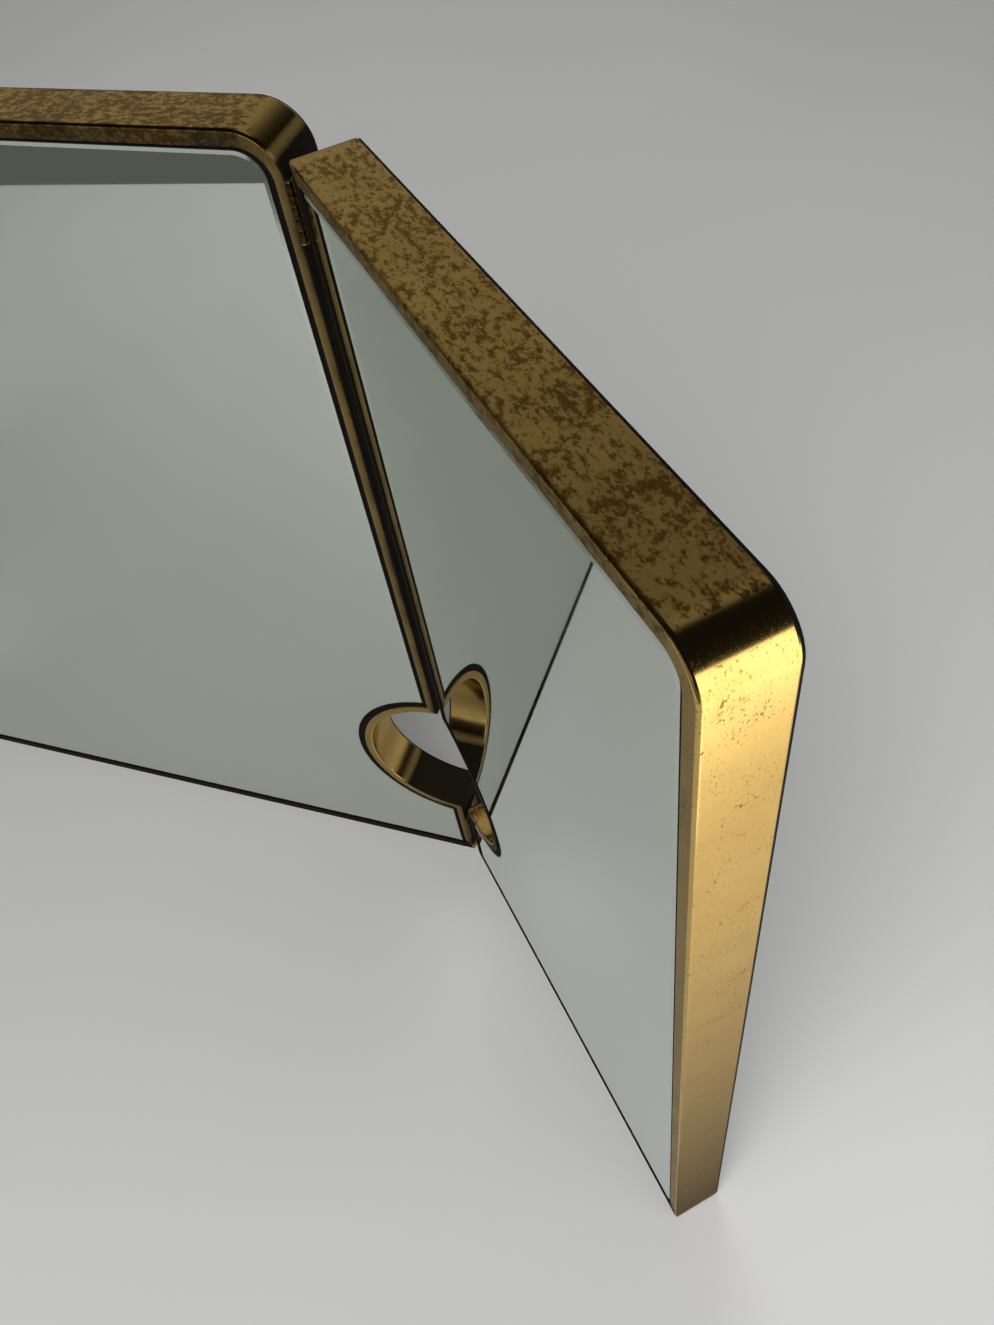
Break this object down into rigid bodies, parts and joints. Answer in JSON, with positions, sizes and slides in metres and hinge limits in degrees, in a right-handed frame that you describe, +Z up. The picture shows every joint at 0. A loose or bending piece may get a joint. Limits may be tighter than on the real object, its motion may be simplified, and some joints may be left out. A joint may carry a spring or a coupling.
{
  "type": "trifold vanity mirror",
  "caption": "Free-standing vanity mirror with a square centre and hinged side wings in brass bands, and a round hand hole on each hinge line.",
  "frame": {"origin": "middle of the centre panel's underside, half way through its depth", "axes": "+X across the width to the viewer's right, +Y away from the viewer (the glass faces -Y), +Z up"},
  "size_m": [0.706, 0.1644, 0.4],
  "materials": {
    "brass_band": "aged, mottled brown patina",
    "mirror_glass": "silvered, slightly grey-green",
    "packing_card": "black, matt",
    "fibreboard": "raw fibreboard",
    "black_felt": "matt felt",
    "hinge_brass": "aged",
    "hinge_pin": "satin",
    "screw_brass": "satin"
  },
  "bodies": {
    "centre": {"centre_frame": "brass_band", "centre_glass": "mirror_glass", "centre_card": "packing_card", "centre_core": "fibreboard", "centre_felt": "black_felt", "left_upper_fixed_leaf": "hinge_brass", "left_upper_pin": "hinge_pin", "left_upper_fixed_screws": "screw_brass", "left_lower_fixed_leaf": "hinge_brass", "left_lower_pin": "hinge_pin", "left_lower_fixed_screws": "screw_brass", "right_upper_fixed_leaf": "hinge_brass", "right_upper_pin": "hinge_pin", "right_upper_fixed_screws": "screw_brass", "right_lower_fixed_leaf": "hinge_brass", "right_lower_pin": "hinge_pin", "right_lower_fixed_screws": "screw_brass"},
    "left_wing": {"left_frame": "brass_band", "left_glass": "mirror_glass", "left_card": "packing_card", "left_core": "fibreboard", "left_felt": "black_felt", "left_upper_wing_leaf": "hinge_brass", "left_upper_wing_screws": "screw_brass", "left_lower_wing_leaf": "hinge_brass", "left_lower_wing_screws": "screw_brass"},
    "right_wing": {"right_frame": "brass_band", "right_glass": "mirror_glass", "right_card": "packing_card", "right_core": "fibreboard", "right_felt": "black_felt", "right_upper_wing_leaf": "hinge_brass", "right_upper_wing_screws": "screw_brass", "right_lower_wing_leaf": "hinge_brass", "right_lower_wing_screws": "screw_brass"}
  },
  "joints": [
    {"name": "left_wing_hinge", "type": "hinge", "parent": "centre", "child": "left_wing", "pos_m": [-0.201, -0.0112, 0.2], "axis": [0, 0, 1], "range_deg": [-46.5, 133.5]},
    {"name": "right_wing_hinge", "type": "hinge", "parent": "centre", "child": "right_wing", "pos_m": [0.201, -0.0112, 0.2], "axis": [0, 0, -1], "range_deg": [-46.5, 133.5]}
  ]
}
